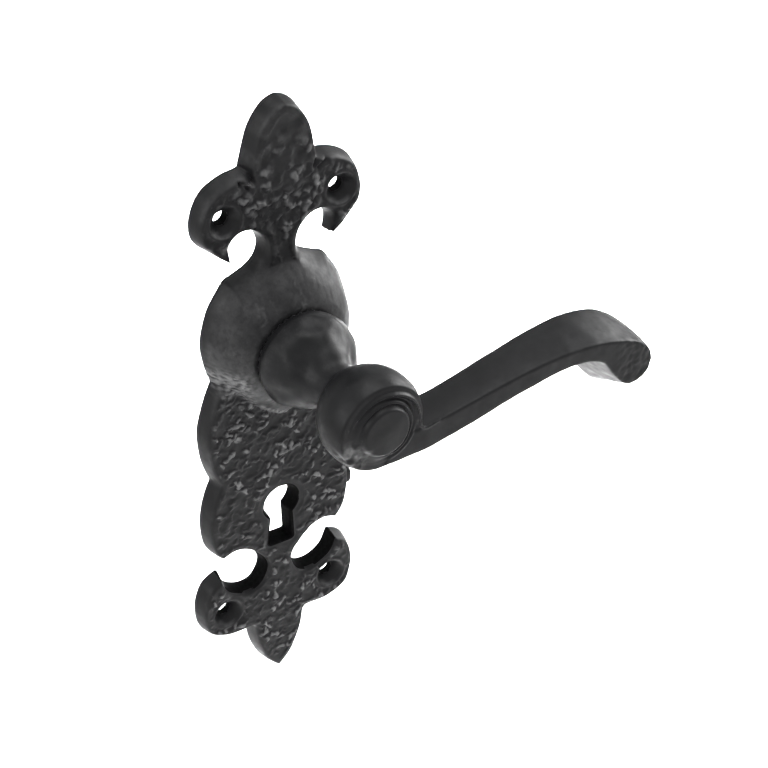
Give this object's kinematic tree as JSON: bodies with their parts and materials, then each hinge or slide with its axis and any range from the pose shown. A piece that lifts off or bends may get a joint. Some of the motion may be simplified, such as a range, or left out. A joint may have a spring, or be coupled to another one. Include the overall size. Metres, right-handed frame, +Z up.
{
  "type": "door lever handle on lock backplate",
  "caption": "Sprung lever handle with a curled arm on a fleur-de-lis lock backplate with a keyhole, in black hammered cast iron.",
  "frame": {"origin": "on the spindle axis, in the plane of the door's face, which is the plane of the backplate's back", "axes": "+Z up along the backplate, +X along the lever's arm, -Y out of the door towards the user"},
  "size_m": [0.1214, 0.0775, 0.1939],
  "materials": {
    "hammered_iron": "black powder coat over a hammered casting",
    "satin_iron": "smooth satin black powder coat",
    "nylon": "natural moulded nylon",
    "blackened_steel": "blackened pressed steel",
    "plated_steel": "zinc-plated steel",
    "spring_steel": "oiled spring steel"
  },
  "bodies": {
    "plate": {"backplate": "hammered_iron", "bearing_bush": "nylon", "thrust_washer": "blackened_steel", "rest_stop_pin": "plated_steel", "travel_stop_pin": "plated_steel", "spring_anchor_pin": "plated_steel", "return_spring": "spring_steel"},
    "lever": {"lever_handle": "satin_iron", "drive_plate": "plated_steel", "circlip": "spring_steel", "spindle": "plated_steel"}
  },
  "joints": [
    {"name": "lever_turn", "type": "hinge", "parent": "plate", "child": "lever", "pos_m": [0, 0, 0], "axis": [0, 1, 0], "range_deg": [0, 40], "stiffness_Nm_per_rad": 0.35, "springref_deg": -57.3, "deforming": ["return_spring"]}
  ]
}
